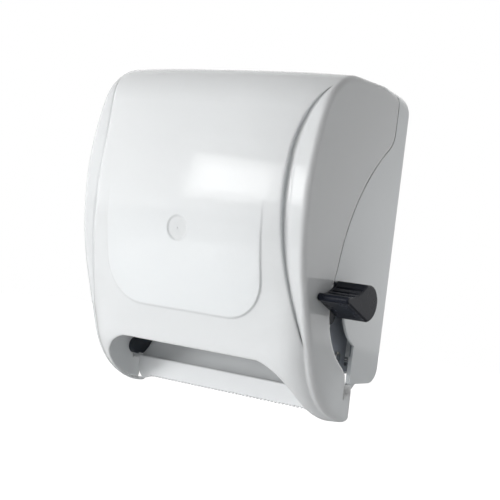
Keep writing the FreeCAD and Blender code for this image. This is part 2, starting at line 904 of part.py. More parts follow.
def frame_holes():
    x, y = arm_pin
    holes = [rod_z(x, y, arm_pin_radius, frame_foot_z, frame_top_z + 1)]
    for z in frame_seats:
        holes.append(rod_y(frame_screw_x, z, screw_radius, flange_front_y - 1, frame_seat_y + 1))
    holes.append(rod_z(frame_screw_x, chute_screw_y, screw_radius, frame_foot_z - 1, shelf_top_z + 1))
    holes.append(rod_x(drive_axis, drive_shaft_radius + shaft_play + bush_wall, frame_x - 1, frame_outer_x + 1))
    holes.append(rod_x(pinch_hinge, pinch_shaft_radius, frame_x - 1, frame_outer_x + 1))
    return holes


def stop_places():
    """Where the rubber stops meet the lever arm at the two ends of its stroke."""
    reach = (neck_inner + lever_hub_radius) / 2
    spread = math.asin((arm_bar_half + stop_radius + stop_gap) / reach)
    return [on_arc(pivot, reach, math.pi - spread), on_arc(pivot, reach, math.pi + lever_stroke + spread)]


def gear_notch():
    """Gap in the frame's flange where the sector's last teeth pass as the stroke ends."""
    run = flange_front_y - gear_notch_gap - pivot[0]
    tip = sector_pitch_radius + gear_module
    end_angle = sector_last_tooth + sector_pitch_angle / 2 + lever_stroke
    low = pivot[1] - math.sqrt(tip ** 2 - run ** 2) - gear_notch_gap
    high = pivot[1] + run * math.tan(end_angle) + gear_notch_gap
    x_ends = (gear_x - gear_notch_gap, gear_x + gear_wall + gear_notch_gap)
    return box(x_ends, (flange_front_y - 1, frame_seat_y + 1), (low, high))


def right_side_frame():
    holes = frame_holes()
    holes.append(gear_notch())
    holes.append(rod_x(pivot, lever_shaft_radius + shaft_play + bush_wall, frame_x - 1, frame_outer_x + 1))
    for place in stop_places():
        holes.append(rod_x(place, screw_radius, frame_x - 1, frame_outer_x + 1))
    return side_plate().cut(holes)


def left_side_frame():
    return mirrored(side_plate().cut(frame_holes()))


def frame_screws():
    """Screws driven from the front through the frame flanges into the back wall's seats."""
    length = flange_wall + screw_bite - screw_tip_gap
    screws = []
    for x in (-frame_screw_x, frame_screw_x):
        for z in frame_seats:
            screws.append(large_screw(V(x, flange_front_y, z), V(0, 1, 0), length))
    return Part.makeCompound(screws)


def flanged_bush(axis, shaft_radius):
    """Bush pressed into the frame from inside, its collar against the plate."""
    bore = shaft_radius + shaft_play
    tube = rod_x(axis, bore + bush_wall, frame_x, frame_outer_x + bush_end)
    collar = rod_x(axis, bore + bush_wall + bush_collar, frame_x - bush_collar_wall, frame_x)
    return joined([tube, collar]).cut(rod_x(axis, bore, frame_x - bush_collar_wall - 1, frame_outer_x + 1))


def lever_stops():
    """Rubber buffers on studs in the right frame."""
    stops = []
    for place in stop_places():
        buffer = rod_x(place, stop_radius, frame_outer_x, lever_arm_x + lever_arm_wall - 1)
        stops.append(joined([buffer, rod_x(place, screw_radius, frame_x, frame_outer_x)]))
    return Part.makeCompound(stops)


def arm_pins():
    x, y = arm_pin
    reach = arm_half_height + lug_gap + lug_wall
    pins = [rod_z(side * x, y, arm_pin_radius, roll_axis[1] - reach, roll_axis[1] + reach) for side in (-1, 1)]
    return Part.makeCompound(pins)


def pinch_pins():
    pins = []
    for side in (-1, 1):
        x_ends = sorted((side * (pinch_arm_x - pinch_arm_wall), side * frame_outer_x))
        pins.append(rod_x(pinch_hinge, pinch_shaft_radius, *x_ends))
    return Part.makeCompound(pins)


# ---- paper chute and tear bar ----
def paper_chute():
    """Curved scoop under the rollers, with an apron for the tear bar and feet on the frames."""
    heel_back = (chute_heel[0] + chute_wall, chute_heel[1])
    lip_back = (chute_lip[0] + chute_wall, chute_lip[1] - chute_wall / 2)
    bow_back = (chute_bow[0] + chute_wall * 0.6, chute_bow[1] - chute_wall * 0.8)
    top = frame_foot_z
    scoop_steps = [[chute_bow, chute_heel], [heel_back], [bow_back, lip_back]]
    scoop = along_x(chute_lip, scoop_steps, -chute_half, chute_half)
    apron_y = (chute_lip[0], chute_lip[0] + chute_wall)
    apron = box((-chute_half, chute_half), apron_y, (apron_foot_z, chute_lip[1]))
    pieces = [scoop, apron]
    for side in (-1, 1):
        x_ends = sorted((side * flange_inner_x, side * frame_outer_x))
        riser = box(x_ends, (chute_heel[0], heel_back[0]), (chute_heel[1], top))
        foot = box(x_ends, (chute_heel[0], frame_seat_y - chute_foot_gap), (top - chute_wall, top))
        end = sorted((side * (chute_half - chute_wall), side * chute_half))
        cheek_steps = [[chute_bow, chute_heel], [(chute_heel[0], cheek_rear_z)], [(chute_lip[0], cheek_front_z)]]
        pieces += [riser, foot, along_x(chute_lip, cheek_steps, *end)]
    chute = joined(pieces)
    holes = []
    for x in (-frame_screw_x, frame_screw_x):
        holes.append(rod_z(x, chute_screw_y, screw_radius, top - chute_wall - 1, top + 1))
    for x in bar_screw_places:
        holes.append(rod_y(x, bar_screw_z, small_screw_radius, chute_lip[0] - 1, chute_lip[0] + chute_wall + 1))
    return chute.cut(holes)


def chute_screws():
    """Screws up through the chute's feet into the frames' shelves."""
    screws = []
    for x in (-frame_screw_x, frame_screw_x):
        seat = V(x, chute_screw_y, frame_foot_z - chute_wall)
        screws.append(large_screw(seat, V(0, 0, 1), chute_wall + shelf_wall))
    return Part.makeCompound(screws)


def tear_bar():
    """White front bar; its lower edge is a row of tear teeth between two deeper ends."""
    half, foot = chute_half, bar_foot_z
    tab_x = half - bar_tab_width
    corner_x, bend_x = half - bar_corner_foot[0], half - bar_corner_bend[0]
    count = int((2 * tab_x + tooth_margin) / tooth_pitch)
    first = -count * tooth_pitch / 2
    steps = [
        [(-half, bar_corner_top_z)],
        [(-bend_x, bar_corner_bend[1]), (-corner_x, bar_corner_foot[1])],
        [(-tab_x, bar_tab_foot_z)],
        [(-tab_x, foot)],
        [(first, foot)],
    ]
    for tooth in range(count):
        x = first + tooth * tooth_pitch
        steps += [[(x + tooth_pitch / 2, foot - tooth_height)], [(x + tooth_pitch, foot)]]
    steps += [
        [(tab_x, foot)],
        [(tab_x, bar_tab_foot_z)],
        [(corner_x, bar_corner_foot[1])],
        [(bend_x, bar_corner_bend[1]), (half, bar_corner_top_z)],
        [(half, bar_top_z)],
    ]
    front_y = chute_lip[0] - bar_wall
    bar = along_y((-half, bar_top_z), steps, front_y, chute_lip[0])
    nose = []
    for edge in bar.Edges:
        middle = edge.CenterOfMass
        if abs(middle.y - front_y) < 1e-6 and abs(middle.z - bar_top_z) < 1e-6:
            nose.append(edge)
    bar = bar.makeFillet(bar_nose, nose)
    bores = []
    for x in bar_screw_places:
        y_ends = (front_y + bar_skin, chute_lip[0] + 1)
        bores.append(rod_y(x, bar_screw_z, small_screw_radius, *y_ends))
    return bar.cut(bores)


def tear_bar_screws():
    length = chute_wall + bar_wall - bar_skin - screw_tip_gap
    screws = []
    for x in bar_screw_places:
        seat = V(x, chute_lip[0] + chute_wall, bar_screw_z)
        screws.append(small_screw(seat, V(0, -1, 0), length))
    return Part.makeCompound(screws)


# ---- gears ----
def involute(angle):
    return math.tan(angle) - angle


def gear_tooth(axis, teeth, middle, x_low, x_high):
    """One involute tooth, centred on the angle middle, from its root out to its tip."""
    pitch = gear_module * teeth / 2
    base = pitch * math.cos(gear_pressure)
    root = pitch - 1.25 * gear_module
    tip = pitch + gear_module
    half_pitch = math.pi / (2 * teeth) - gear_backlash / (4 * pitch)

    def half_angle(radius):
        lean = math.acos(min(base / radius, 1))
        return half_pitch + involute(gear_pressure) - involute(lean)

    def point(radius, side):
        return on_arc(axis, radius, middle + side * half_angle(radius))

    foot = max(root, base)
    steps = [
        [point(foot, -1)],
        [point((foot + tip) / 2, -1), point(tip, -1)],
        [on_arc(axis, tip, middle), point(tip, 1)],
        [point((foot + tip) / 2, 1), point(foot, 1)],
        [on_arc(axis, root - 0.5, middle + half_angle(foot))],
    ]
    return along_x(on_arc(axis, root - 0.5, middle - half_angle(foot)), steps, x_low, x_high)


def sector_gear():
    """Toothed sector on the lever shaft, its teeth where the pinion meets it in the stroke."""
    root = sector_pitch_radius - 1.25 * gear_module
    last = sector_last_tooth
    ends = (last - (sector_teeth - 0.5) * sector_pitch_angle, last + sector_pitch_angle / 2)
    middle = sum(ends) / 2
    x_high = gear_x + gear_wall
    rim = along_x(pivot, [[on_arc(pivot, root, ends[0])],
                          [on_arc(pivot, root, middle), on_arc(pivot, root, ends[1])]], gear_x, x_high)
    inner = root - sector_rim
    low, high = ends[0] + sector_spoke, ends[1] - sector_spoke
    near = lever_hub_radius + sector_web
    window = along_x(
        on_arc(pivot, near, low),
        [[on_arc(pivot, inner, low)], [on_arc(pivot, inner, middle), on_arc(pivot, inner, high)],
         [on_arc(pivot, near, high)], [on_arc(pivot, near, middle), on_arc(pivot, near, low)]],
        gear_x - 1, x_high + 1)
    hub = rod_x(pivot, lever_hub_radius, gear_x, x_high)
    gear = rim.cut(window)
    teeth = []
    for tooth in range(sector_teeth):
        teeth.append(gear_tooth(pivot, sector_full_teeth, last - tooth * sector_pitch_angle, gear_x, x_high))
    peg = rod_x(spring_peg, spring_peg_radius, gear_x - spring_peg_length, gear_x)
    gear = joined([gear, hub, peg] + teeth)
    return gear.cut(rod_x(pivot, lever_shaft_radius, gear_x - 1, x_high + 1))


def drive_pinion():
    """Pinion with a tooth on the line of centres, bored for the one-way clutch."""
    root = pinion_pitch_radius - 1.25 * gear_module
    x_high = gear_x + gear_wall
    pitch_angle = 2 * math.pi / pinion_teeth
    pieces = [rod_x(drive_axis, root, gear_x, x_high)]
    for tooth in range(pinion_teeth):
        middle = mesh_angle + math.pi + tooth * pitch_angle
        pieces.append(gear_tooth(drive_axis, pinion_teeth, middle, gear_x, x_high))
    return joined(pieces).cut(rod_x(drive_axis, clutch_radius, gear_x - 1, x_high + 1))


def one_way_clutch():
    tube = rod_x(drive_axis, clutch_radius, gear_x, gear_x + gear_wall)
    return tube.cut(rod_x(drive_axis, drive_shaft_radius, gear_x - 1, gear_x + gear_wall + 1))


# ---- lever ----
def lever_handle():
    """Arm inside the casing, neck through the slot and grooved paddle outside."""
    x_ends = (lever_arm_x, lever_arm_x + lever_arm_wall)
    y, z = pivot
    hub = rod_x(pivot, lever_hub_radius, *x_ends)
    arm = box(x_ends, (y - arm_reach, y), (z - arm_bar_half, z + arm_bar_half))
    foot_radius = (arm_reach - neck_inner) / 2
    foot = rod_x((y - arm_reach + foot_radius, z - foot_drop), foot_radius, *x_ends)
    toe = box(x_ends, (y - arm_reach, y - neck_inner), (z - foot_drop, z))
    neck_y = (y - neck_outer, y - neck_inner)
    neck = box((x_ends[0], paddle_inner_x + 1), neck_y, (z - neck_half_height + 2, z + neck_half_height))
    neck = neck.makeFillet(3.0, [edge for edge in neck.Edges if abs(edge.BoundBox.XLength) > 1])
    handle = joined([hub, arm, foot, toe, neck, paddle()])
    return handle.cut(rod_x(pivot, lever_shaft_radius, x_ends[0] - 1, x_ends[1] + 1))


def paddle():
    steps = [
        [paddle_crest],
        [paddle_dip, paddle_brow],
        [paddle_nose, paddle_chin],
        [paddle_belly, paddle_heel],
        [paddle_back, paddle_crown],
    ]
    body = along_x(paddle_crown, steps, paddle_inner_x, paddle_outer_x)
    length = paddle_outer_x - paddle_inner_x
    long_edges = [edge for edge in body.Edges if abs(edge.BoundBox.XLength - length) < 1e-6]
    body = body.makeFillet(paddle_corner, long_edges)
    rim = [edge for edge in body.Edges if abs(edge.CenterOfMass.x - paddle_outer_x) < 1e-6]
    body = body.makeFillet(paddle_edge, rim)
    x_ends = (paddle_inner_x + paddle_groove_start, paddle_outer_x - paddle_groove_stop)
    grooves = [rod_x(place, paddle_groove_radius, *x_ends) for place in paddle_grooves]
    return body.cut(grooves)


def lever_shaft():
    """Stepped steel shaft: spring end inside, gear, bush, then the lever with its screw."""
    x_high = lever_arm_x + lever_arm_wall
    shaft = rod_x(pivot, lever_shaft_radius, spring_x - spring_wire, x_high)
    bore = rod_x(pivot, screw_radius, x_high - lever_screw_length, x_high + 1)
    return shaft.cut([clip_groove(pivot, lever_shaft_radius, gear_x - clip_wall, clip_wall), bore])


def clip_groove(axis, radius, x_low, width):
    groove = rod_x(axis, radius + 1, x_low, x_low + width)
    return groove.cut(rod_x(axis, radius - clip_seat, x_low - 1, x_low + width + 1))


def clip_ring(axis, radius, x_low, width):
    """Open ring that snaps into a shaft's groove."""
    y, z = axis
    reach = (x_low - 1, x_low + width + 1)
    ring = rod_x(axis, radius + clip_reach, x_low, x_low + width)
    mouth = box(reach, (y - clip_mouth, y + clip_mouth), (z, z + radius + clip_reach + 1))
    return ring.cut([rod_x(axis, radius - clip_seat, *reach), mouth])


def lever_clip():
    """Clip that keeps the sector gear against the bush."""
    return clip_ring(pivot, lever_shaft_radius, gear_x - clip_wall, clip_wall)


def lever_washer():
    x_low = lever_arm_x + lever_arm_wall
    washer = rod_x(pivot, lever_shaft_radius + clip_reach, x_low, x_low + washer_wall)
    return washer.cut(rod_x(pivot, screw_radius, x_low - 1, x_low + washer_wall + 1))


def lever_screw():
    seat = V(lever_arm_x + lever_arm_wall + washer_wall, *pivot)
    return large_screw(seat, V(-1, 0, 0), lever_screw_length)


def lever_spring():
    """Close-wound torsion spring: one leg on the frame's flange, the other under the gear's peg."""
    wire_half = spring_wire / 2
    x_high = spring_x + spring_length
    y, z = pivot
    coil = rod_x(pivot, spring_radius + wire_half, spring_x, x_high)
    coil = coil.cut(rod_x(pivot, spring_radius - wire_half, spring_x - 1, x_high + 1))
    fixed_leg = rod_y(spring_x + spring_wire, z + spring_radius, wire_half, y, flange_front_y)
    moving_y = spring_peg[0] - 2 * spring_peg_radius
    moving_leg = rod_y(x_high - spring_wire, z - spring_radius, wire_half, moving_y, y)
    return joined([coil, fixed_leg, moving_leg])


# ---- drive roller ----
def drive_shaft():
    """Steel shaft through both frames, from the feed knob to the right-hand clip."""
    end_x = shaft_clip_x + shaft_clip_wall + shaft_lip
    shaft = rod_x(drive_axis, drive_shaft_radius, -knob_inner_x - knob_wall, end_x)
    return shaft.cut(clip_groove(drive_axis, drive_shaft_radius, shaft_clip_x, shaft_clip_wall))


def shaft_clip():
    """Clip outside the right bush; with the knob's boss outside the left one it holds the shaft."""
    return clip_ring(drive_axis, drive_shaft_radius, shaft_clip_x, shaft_clip_wall)


def roller_core():
    core = rod_x(drive_axis, core_radius, -roller_half, roller_half)
    return core.cut(rod_x(drive_axis, drive_shaft_radius, -roller_half - 1, roller_half + 1))


def grip_sleeves():
    sleeves = []
    for place in sleeve_places:
        x_ends = (place - sleeve_length / 2, place + sleeve_length / 2)
        sleeve = rod_x(drive_axis, sleeve_radius, *x_ends)
        sleeves.append(sleeve.cut(rod_x(drive_axis, core_radius, x_ends[0] - 1, x_ends[1] + 1)))
    return Part.makeCompound(sleeves)


def feed_knob():
    """Lobed finger wheel on the left end of the drive shaft."""
    x_ends = (-knob_inner_x - knob_wall, -knob_inner_x)
    pieces = [rod_x(drive_axis, knob_core_radius, *x_ends)]
    for lobe in range(knob_lobes):
        for step in range(knob_steps):
            angle = knob_first + lobe * 2 * math.pi / knob_lobes + step * knob_step
            pieces.append(rod_x(on_arc(drive_axis, knob_reach, angle), knob_lobe_radius, *x_ends))
    wheel = joined(pieces)
    dish = rod_x(drive_axis, knob_dish_radius, x_ends[0] - 1, x_ends[0] + knob_dish)
    boss_end = -frame_outer_x - bush_end - end_play
    boss = rod_x(drive_axis, knob_boss_radius, x_ends[0], boss_end)
    return joined([wheel.cut(dish), boss]).cut(rod_x(drive_axis, drive_shaft_radius, x_ends[0] - 1, boss_end + 1))


# ---- pinch roller ----
def pinch_carrier():
    """Swinging cradle: an arm at each end and a cross plate behind the paper."""
    plate_y = [pinch_hinge[0] + y for y in pinch_plate_y]
    plate_z = [pinch_hinge[1] + z for z in pinch_plate_z]
    pieces = []
    for side in (-1, 1):
        x_ends = sorted((side * (pinch_arm_x - pinch_arm_wall), side * pinch_arm_x))
        boss = rod_x(pinch_hinge, pinch_boss_radius, *x_ends)
        head = rod_x(pinch_axis, pinch_head_radius, *x_ends)
        reach = math.atan2(pinch_axis[1] - pinch_hinge[1], pinch_axis[0] - pinch_hinge[0])
        near, far = reach - math.pi / 2, reach + math.pi / 2
        ends = [(pinch_axis, near), (pinch_axis, far), (pinch_hinge, far)]
        bar_steps = corners([on_arc(centre, pinch_arm_half, angle) for centre, angle in ends])
        pieces += [boss, head, along_x(on_arc(pinch_hinge, pinch_arm_half, near), bar_steps, *x_ends)]
    pieces.append(box((-pinch_arm_x, pinch_arm_x), plate_y, plate_z))
    carrier = joined(pieces)
    reach_x = pinch_arm_x + 1
    return carrier.cut([rod_x(pinch_hinge, pinch_shaft_radius + pivot_play, -reach_x, reach_x),
                        rod_x(pinch_axis, pinch_shaft_radius + shaft_play, -reach_x, reach_x)])


def pinch_shaft():
    return rod_x(pinch_axis, pinch_shaft_radius, -pinch_arm_x - 0.5, pinch_arm_x + 0.5)


def pinch_sleeves():
    """Three plastic sleeves on the pinch shaft, opposite the drive sleeves."""
    sleeves = []
    third = 2 * pinch_half / 3
    for number in range(3):
        x_low = -pinch_half + number * third
        x_ends = (x_low + pinch_sleeve_gap / 2, x_low + third - pinch_sleeve_gap / 2)
        sleeve = rod_x(pinch_axis, pinch_radius, *x_ends)
        sleeves.append(sleeve.cut(rod_x(pinch_axis, pinch_shaft_radius, x_low, x_low + third)))
    return Part.makeCompound(sleeves)


def pinch_springs():
    """Leaf springs from the back wall that push the cradle's cross plate forward."""
    tip_y = pinch_hinge[0] + pinch_plate_y[1] + arm_spring_gap
    tip_z = pinch_hinge[1] + pinch_plate_z[1] - pinch_spring_drop
    foot_y = -back_wall
    leaf = spring_leaf
    bow_y, bow_z = tip_y + pinch_spring_bow[0], tip_z + pinch_spring_bow[1]
    bend_z = tip_z + pinch_spring_rise
    foot_z = bend_z + pinch_spring_foot
    curl_y, curl_z = tip_y + pinch_spring_curl[0], tip_z - pinch_spring_curl[1]
    springs = []
    for x in (-pinch_spring_x, pinch_spring_x):
        steps = [
            [(foot_y - leaf, foot_z)],
            [(foot_y - leaf, bend_z)],
            [(bow_y, bow_z), (tip_y, tip_z)],
            [(curl_y, curl_z)],
            [(curl_y + leaf, curl_z)],
            [(tip_y + leaf, tip_z)],
            [(bow_y + leaf, bow_z), (foot_y, bend_z)],
        ]
        springs.append(along_x((foot_y, foot_z), steps, x - pinch_spring_half, x + pinch_spring_half))
    return Part.makeCompound(springs)


# ---- roll arms ----
def right_roll_arm():
    """Arm from its hinge knuckle forward to the spindle that carries the hub."""
    x_ends = (arm_x, arm_x + arm_wall)
    y, z = roll_axis
    head = (y, z + arm_head_radius)
    steps = [
        [head],
        [(y - arm_head_radius, z), (y, z - arm_head_radius)],
        [(arm_pin[1], z - arm_half_height)],
    ]
    plate = along_x((arm_pin[1], z + arm_half_height), steps, *x_ends)
    knuckle = rod_z(*arm_pin, knuckle_radius, z - arm_half_height, z + arm_half_height)
    spindle = rod_x(roll_axis, spindle_radius, spindle_end_x, arm_x)
    rib_x_ends = (arm_x + arm_wall, arm_x + arm_wall + arm_rib_height)
    rib = box(rib_x_ends, (y, arm_pin[1]), (z - arm_rib_wall / 2, z + arm_rib_wall / 2))
    arm = joined([plate, knuckle, spindle, rib])
    pin_bore = rod_z(*arm_pin, arm_pin_radius + pivot_play, z - arm_half_height - 1, z + arm_half_height + 1)
    screw_bore = rod_x(roll_axis, screw_radius, spindle_end_x - 1, spindle_end_x + hub_screw_length + 1)
    return arm.cut([pin_bore, screw_bore])


def right_roll_hub():
    """Turned hub: nose into the roll's core, flange against its end, back against the arm."""
    bore = spindle_radius + shaft_play
    flange_back_x = hub_flange_x + hub_flange_wall
    back_x = arm_x - hub_play
    recess_x = spindle_end_x + hub_play
    profile = [
        (hub_nose_x, hub_radius - hub_chamfer), (hub_nose_x + hub_chamfer, hub_radius),
        (hub_flange_x, hub_radius), (hub_flange_x, hub_flange_radius), (flange_back_x, hub_flange_radius),
        (flange_back_x, hub_back_radius), (back_x, hub_back_radius), (back_x, bore),
        (recess_x, bore), (recess_x, hub_radius - hub_wall), (hub_nose_x, hub_radius - hub_wall),
    ]
    points = [V(x, roll_axis[0], roll_axis[1] + radius) for x, radius in profile]
    face = Part.Face(Part.makePolygon(points + [points[0]]))
    return face.revolve(V(0, *roll_axis), V(1, 0, 0), 360)


def right_hub_screw():
    """Screw and washer in the spindle's end that keep the hub on."""
    washer = rod_x(roll_axis, hub_washer_radius, spindle_end_x - hub_washer_wall, spindle_end_x)
    seat = V(spindle_end_x - hub_washer_wall, *roll_axis)
    return joined([washer, large_screw(seat, V(1, 0, 0), hub_washer_wall + hub_screw_length)])


def right_arm_spring():
    """Leaf spring on the side frame that swings the arm in against the roll."""
    outer, inner = frame_x, frame_x - spring_leaf
    tip_x = arm_x + arm_wall + arm_spring_gap
    foot_y = flange_front_y - arm_spring_setback
    bend_y = frame_column_y + arm_spring_setback
    tip_y = bend_y - arm_spring_reach
    bow_x, bow_y = arm_spring_bow
    curl_x, curl_y = tip_x + arm_spring_curl[0], tip_y - arm_spring_curl[1]
    steps = [
        [(outer, bend_y)],
        [(outer - bow_x, bend_y - bow_y), (tip_x + spring_leaf, tip_y)],
        [(curl_x, curl_y)],
        [(curl_x - spring_leaf, curl_y)],
        [(tip_x, tip_y)],
        [(inner - bow_x, bend_y - bow_y + 1), (inner, bend_y)],
        [(inner, foot_y)],
    ]
    z_ends = [roll_axis[1] + z for z in arm_spring_z]
    return along_z((outer, foot_y), steps, *z_ends)


# ---- all nodes ----
nodes = {
    "back_chassis": back_chassis,
    "left_side_frame": left_side_frame,
    "right_side_frame": right_side_frame,
    "frame_screws": frame_screws,
    "left_drive_bush": lambda: mirrored(flanged_bush(drive_axis, drive_shaft_radius)),
    "right_drive_bush": lambda: flanged_bush(drive_axis, drive_shaft_radius),
    "lever_bush": lambda: flanged_bush(pivot, lever_shaft_radius),
    "lever_stops": lever_stops,
    "arm_pins": arm_pins,
    "pinch_pins": pinch_pins,
    "cover_hinge_pins": cover_hinge_pins,
    "lock_strike": lock_strike,
    "strike_screws": strike_screws,
    "paper_chute": paper_chute,
    "chute_screws": chute_screws,
    "tear_bar": tear_bar,
    "tear_bar_screws": tear_bar_screws,
    "pinch_springs": pinch_springs,
    "left_arm_spring": lambda: mirrored(right_arm_spring()),
    "right_arm_spring": right_arm_spring,
    "lever_spring": lever_spring,
    "front_cover": front_cover,
    "lock_housing": lock_housing,
    "lock_nut": lock_nut,
    "lock_plug": lock_plug,
    "lock_cam": lock_cam,
    "cam_screw": cam_screw,
    "lever_handle": lever_handle,
    "lever_shaft": lever_shaft,
    "lever_washer": lever_washer,
    "lever_screw": lever_screw,
    "lever_clip": lever_clip,
    "sector_gear": sector_gear,
    "drive_shaft": drive_shaft,
    "roller_core": roller_core,
    "grip_sleeves": grip_sleeves,
    "drive_pinion": drive_pinion,
    "one_way_clutch": one_way_clutch,
    "shaft_clip": shaft_clip,
    "feed_knob": feed_knob,
    "pinch_carrier": pinch_carrier,
    "pinch_shaft": pinch_shaft,
    "pinch_sleeves": pinch_sleeves,
    "left_roll_arm": lambda: mirrored(right_roll_arm()),
    "right_roll_arm": right_roll_arm,
    "left_roll_hub": lambda: mirrored(right_roll_hub()),
    "right_roll_hub": right_roll_hub,
    "left_hub_screw": lambda: mirrored(right_hub_screw()),
    "right_hub_screw": right_hub_screw,
}

os.makedirs("parts", exist_ok=True)
for node, make in nodes.items():
    shape = make()
    shape.exportStep(f"parts/{node}.step")
    print(f"{node}: {len(shape.Solids)} solid(s), {shape.Volume / 1000:.1f} cm3")
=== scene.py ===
import json
import math

import bmesh
import bpy
from mathutils import Matrix, Vector
from mathutils.bvhtree import BVHTree


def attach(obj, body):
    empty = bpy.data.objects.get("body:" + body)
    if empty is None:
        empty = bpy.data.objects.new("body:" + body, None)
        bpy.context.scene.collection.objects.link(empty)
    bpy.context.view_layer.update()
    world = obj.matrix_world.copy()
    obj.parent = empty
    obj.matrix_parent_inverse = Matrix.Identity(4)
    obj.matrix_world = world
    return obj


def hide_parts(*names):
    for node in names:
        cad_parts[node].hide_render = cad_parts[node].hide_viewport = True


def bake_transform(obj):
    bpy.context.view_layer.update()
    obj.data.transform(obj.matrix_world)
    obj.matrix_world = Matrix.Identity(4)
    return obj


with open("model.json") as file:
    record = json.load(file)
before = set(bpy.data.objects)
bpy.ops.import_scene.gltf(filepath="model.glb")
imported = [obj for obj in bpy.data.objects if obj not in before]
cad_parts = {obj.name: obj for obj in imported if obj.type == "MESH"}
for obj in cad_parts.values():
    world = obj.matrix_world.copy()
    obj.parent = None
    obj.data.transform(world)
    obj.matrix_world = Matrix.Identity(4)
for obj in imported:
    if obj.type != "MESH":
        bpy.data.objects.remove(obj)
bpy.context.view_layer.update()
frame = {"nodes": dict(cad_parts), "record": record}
nodes = frame["nodes"]
mm = 0.001

view = {
    "spot": (0.79403, -1.21118, 0.0),
    "turn": 34.641,    # degrees to the left of straight ahead
    "dip": 0.2431,     # degrees below level
    "roll": 7.182,     # degrees, so that the top leans to the right
    "lens": 85.94,
    "sensor": 36.0,
    "nearest": 0.01,
}


def aimCamera():
    turn, dip, roll = (math.radians(view[name]) for name in ("turn", "dip", "roll"))
    ahead = Vector((-math.sin(turn) * math.cos(dip), math.cos(turn) * math.cos(dip), -math.sin(dip)))
    right = Vector((math.cos(turn), math.sin(turn), 0))
    up = right.cross(ahead)
    across = math.cos(roll) * right + math.sin(roll) * up
    upright = math.cos(roll) * up - math.sin(roll) * right
    data = bpy.data.cameras.new("mainCamera")
    data.sensor_width = view["sensor"]
    data.lens = view["lens"]
    data.clip_start = view["nearest"]
    camera = bpy.data.objects.new("mainCamera", data)
    bpy.context.scene.collection.objects.link(camera)
    turned = Matrix((across, upright, -ahead)).transposed().to_4x4()
    camera.matrix_world = Matrix.Translation(view["spot"]) @ turned
    bpy.context.scene.camera = camera


aimCamera()
bpy.context.scene.view_settings.view_transform = "Standard"
print("camera aimed")


def linear(hexColour):
    values = []
    for start in (0, 2, 4):
        part = int(hexColour[start:start + 2], 16) / 255
        values.append(part / 12.92 if part <= 0.04045 else ((part + 0.055) / 1.055) ** 2.4)
    return (*values, 1.0)


def addNode(tree, kind, inputs=None, **settings):
    # an input is a plain value, or a node and the name of its output
    node = tree.nodes.new(kind)
    for name, value in settings.items():
        setattr(node, name, value)
    for name, value in (inputs or {}).items():
        if isinstance(value, tuple) and hasattr(value[0], "outputs"):
            tree.links.new(value[0].outputs[value[1]], node.inputs[name])
        else:
            node.inputs[name].default_value = value
    return node


def newMaterial(name):
    material = bpy.data.materials.new(name)
    material.use_nodes = True
    tree = material.node_tree
    tree.nodes.clear()
    output = addNode(tree, "ShaderNodeOutputMaterial")
    shader = addNode(tree, "ShaderNodeBsdfPrincipled")
    tree.links.new(shader.outputs["BSDF"], output.inputs["Surface"])
    return material, tree, shader


def objectPlace(tree, stretch=(1, 1, 1)):
    where = addNode(tree, "ShaderNodeTexCoord")
    return addNode(tree, "ShaderNodeMapping", {"Vector": (where, "Object"), "Scale": stretch})


def waves(sizeMm):
    # noise scale that gives features of about this size
    return 1 / (sizeMm * mm)


studio = {
    "worldLight": 0.25,
    "floorLevel": -0.62,
    "floorHalf": 6.0,
    "floorSeen": 0.9,         # how white the floor is for the camera, with the shadow on top of it
    "floorMirrored": 0.05,    # and in reflections
    "lamps": {    # watts, width and height, place, aim, and whether it shows as a reflection
        "frontWindow": (19.6, (0.80, 0.55), (-1.00, -2.05, 0.04), (0, -0.1, -0.02), False),
        "softBox": (3.0, (0.86, 0.46), (-0.56, -1.60, 0.26), (0.05, -0.2, 0.06), True),
        "topCard": (1.6, (0.6, 0.6), (-0.25, -0.80, 1.10), (0, 0, 0.1), False),
        "brightPane": (1.15, (0.66, 0.30), (-0.60, -1.59, 0.24), (0.05, -0.2, 0.06), True),
        "rearFill": (0.29, (0.25, 0.25), (0.42, 0.15, 0.0), (0.15, -0.03, 0), False),
        "lowCard": (2.6, (0.6, 0.6), (0.0, -1.10, -0.42), (0, -0.1, -0.15), False),
    },
}


def makeWorld():
    world = bpy.data.worlds.new("studioWorld")
    bpy.context.scene.world = world
    world.use_nodes = True
    tree = world.node_tree
    tree.nodes.clear()
    path = addNode(tree, "ShaderNodeLightPath")
    clear = addNode(tree, "ShaderNodeMath", {0: (path, "Is Camera Ray"), 1: (path, "Is Transmission Ray")},
                    operation="MAXIMUM")
    seen = addNode(tree, "ShaderNodeMath", {0: (clear, "Value"), 1: (path, "Is Glossy Ray")},
                   operation="MAXIMUM")
    plain = addNode(tree, "ShaderNodeBackground", {"Color": linear("FFFFFF"), "Strength": studio["worldLight"]})
    white = addNode(tree, "ShaderNodeBackground", {"Color": linear("FFFFFF"), "Strength": 1.0})
    mixed = addNode(tree, "ShaderNodeMixShader", {0: (seen, "Value"), 1: (plain, "Background"),
                                                  2: (white, "Background")})
    addNode(tree, "ShaderNodeOutputWorld", {"Surface": (mixed, "Shader")})


def makeLamps():
    for name, (watts, size, place, aim, mirrored) in studio["lamps"].items():
        light = bpy.data.lights.new(name, "AREA")
        light.shape = "RECTANGLE"
        light.size, light.size_y = size
        light.energy = watts
        lamp = bpy.data.objects.new(name, light)
        lamp.location = place
        lamp.rotation_euler = (Vector(aim) - Vector(place)).to_track_quat("-Z", "Y").to_euler()
        lamp.visible_camera = False
        lamp.visible_glossy = mirrored
        bpy.context.scene.collection.objects.link(lamp)


